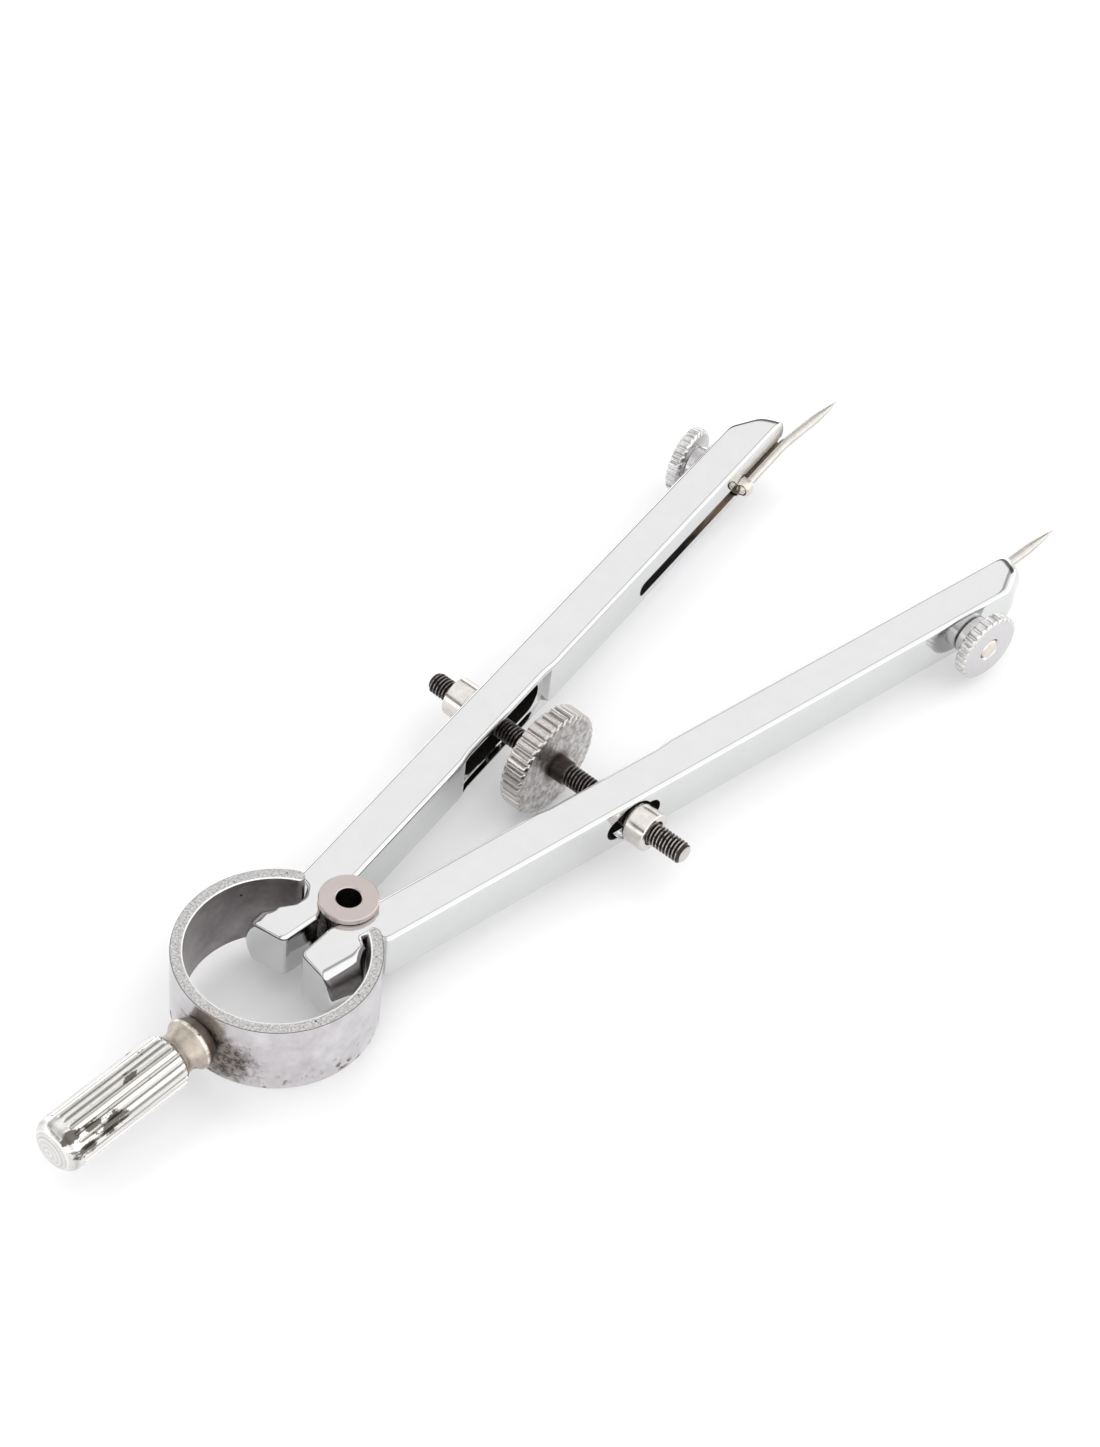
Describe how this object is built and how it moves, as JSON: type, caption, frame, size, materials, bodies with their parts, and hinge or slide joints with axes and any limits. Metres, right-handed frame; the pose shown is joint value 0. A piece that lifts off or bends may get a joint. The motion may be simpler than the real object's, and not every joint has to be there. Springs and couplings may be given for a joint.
{
  "type": "drawing compass",
  "caption": "Spring-bow divider: a C-shaped spring pinches two legs on a roller, and a knurled wheel on a double-threaded screw sets the distance between the needle points.",
  "frame": {"origin": "centre of the bounding box, at its bottom, level with the lowest point of the adjusting wheel", "axes": "+Y from the handle to the needle points, +X towards the right leg, +Z square to the plane of the legs"},
  "size_m": [0.0546, 0.1682, 0.0145],
  "materials": {
    "chrome": "bright chrome plate with light scratches and a few pits",
    "nickel": "nickel plate, knurled",
    "spring_steel": "worn nickel plate on spring steel, pitted on the rims",
    "satin_steel": "turned satin face",
    "tarnished_brass": "tarnished, worn plate over brass",
    "black_oxide": "blackened steel thread",
    "wheel_steel": "mottled nickel plate",
    "warm_nickel": "warm nickel plate",
    "brass": "worn plate over brass",
    "needle_steel": "drawn and ground steel"
  },
  "bodies": {
    "head": {"spring_ring": "spring_steel", "handle_stem": "tarnished_brass", "handle_grip": "nickel"},
    "roller": {"pivot_roller": "satin_steel"},
    "left_leg": {"left_leg": "chrome"},
    "right_leg": {"right_leg": "chrome"},
    "left_swivel_nut": {"left_swivel_nut": "warm_nickel"},
    "right_swivel_nut": {"right_swivel_nut": "warm_nickel"},
    "screw": {"adjusting_screw": "black_oxide"},
    "wheel": {"adjusting_wheel": "wheel_steel"},
    "left_clamp_nut": {"left_clamp_nut": "nickel"},
    "left_eye_bolt": {"left_eye_bolt": "brass"},
    "left_needle": {"left_needle": "needle_steel"},
    "right_clamp_nut": {"right_clamp_nut": "nickel"},
    "right_eye_bolt": {"right_eye_bolt": "brass"},
    "right_needle": {"right_needle": "needle_steel"}
  },
  "joints": [
    {"name": "roller_spin", "type": "hinge", "parent": "head", "child": "roller", "pos_m": [0, -0.03744, 0.00725], "axis": [0, 0, 1], "continuous": true},
    {"name": "left_leg_swing", "type": "hinge", "parent": "head", "child": "left_leg", "pos_m": [0, -0.03744, 0.00725], "axis": [0, 0, 1], "range_deg": [-7.55, 5.39], "deforming": ["spring_ring"]},
    {"name": "right_leg_swing", "type": "hinge", "parent": "head", "child": "right_leg", "pos_m": [0, -0.03744, 0.00725], "axis": [0, 0, 1], "range_deg": [-5.4, 7.56]},
    {"name": "left_swivel", "type": "hinge", "parent": "left_leg", "child": "left_swivel_nut", "pos_m": [-0.01295, -0.00053, 0.00725], "axis": [0, 0, 1], "range_deg": [-5.4, 7.56]},
    {"name": "right_swivel", "type": "hinge", "parent": "right_leg", "child": "right_swivel_nut", "pos_m": [0.01295, -0.00053, 0.00725], "axis": [0, 0, 1], "range_deg": [-7.56, 5.4]},
    {"name": "screw_slide", "type": "slide", "parent": "left_swivel_nut", "child": "screw", "axis": [1, 0, 0], "range_m": [-0.0049, 0.0035]},
    {"name": "wheel_turn", "type": "hinge", "parent": "screw", "child": "wheel", "pos_m": [0, -0.00053, 0.00725], "axis": [1, 0, 0], "range_deg": [-3505, 2505]},
    {"name": "left_clamp_turn", "type": "hinge", "parent": "left_leg", "child": "left_clamp_nut", "pos_m": [-0.01563, 0.0594, 0.0065], "axis": [-0.9872, -0.1594, 0], "range_deg": [0, 361]},
    {"name": "left_bolt_travel", "type": "slide", "parent": "left_leg", "child": "left_eye_bolt", "axis": [0.9872, 0.1594, 0], "range_m": [0, 0.0005]},
    {"name": "left_needle_slide", "type": "slide", "parent": "left_leg", "child": "left_needle", "axis": [-0.1594, 0.9872, 0], "range_m": [-0.009, 0.0015]},
    {"name": "right_clamp_turn", "type": "hinge", "parent": "right_leg", "child": "right_clamp_nut", "pos_m": [0.01563, 0.0594, 0.0065], "axis": [0.9872, -0.1594, 0], "range_deg": [0, 361]},
    {"name": "right_bolt_travel", "type": "slide", "parent": "right_leg", "child": "right_eye_bolt", "axis": [-0.9872, 0.1594, 0], "range_m": [0, 0.0005]},
    {"name": "right_needle_slide", "type": "slide", "parent": "right_leg", "child": "right_needle", "axis": [0.1594, 0.9872, 0], "range_m": [-0.009, 0.0015]}
  ],
  "couplings": [
    {"joint": "right_leg_swing", "follows": "left_leg_swing", "ratio": -1},
    {"joint": "left_swivel", "follows": "left_leg_swing", "ratio": -1},
    {"joint": "right_swivel", "follows": "left_leg_swing", "ratio": 1},
    {"joint": "wheel_turn", "follows": "left_leg_swing", "ratio": 463.8},
    {"joint": "screw_slide", "follows": "left_leg_swing", "m_per_rad": 0.036908},
    {"joint": "left_clamp_turn", "follows": "left_bolt_travel", "rad_per_m": 12566},
    {"joint": "right_clamp_turn", "follows": "right_bolt_travel", "rad_per_m": 12566}
  ]
}
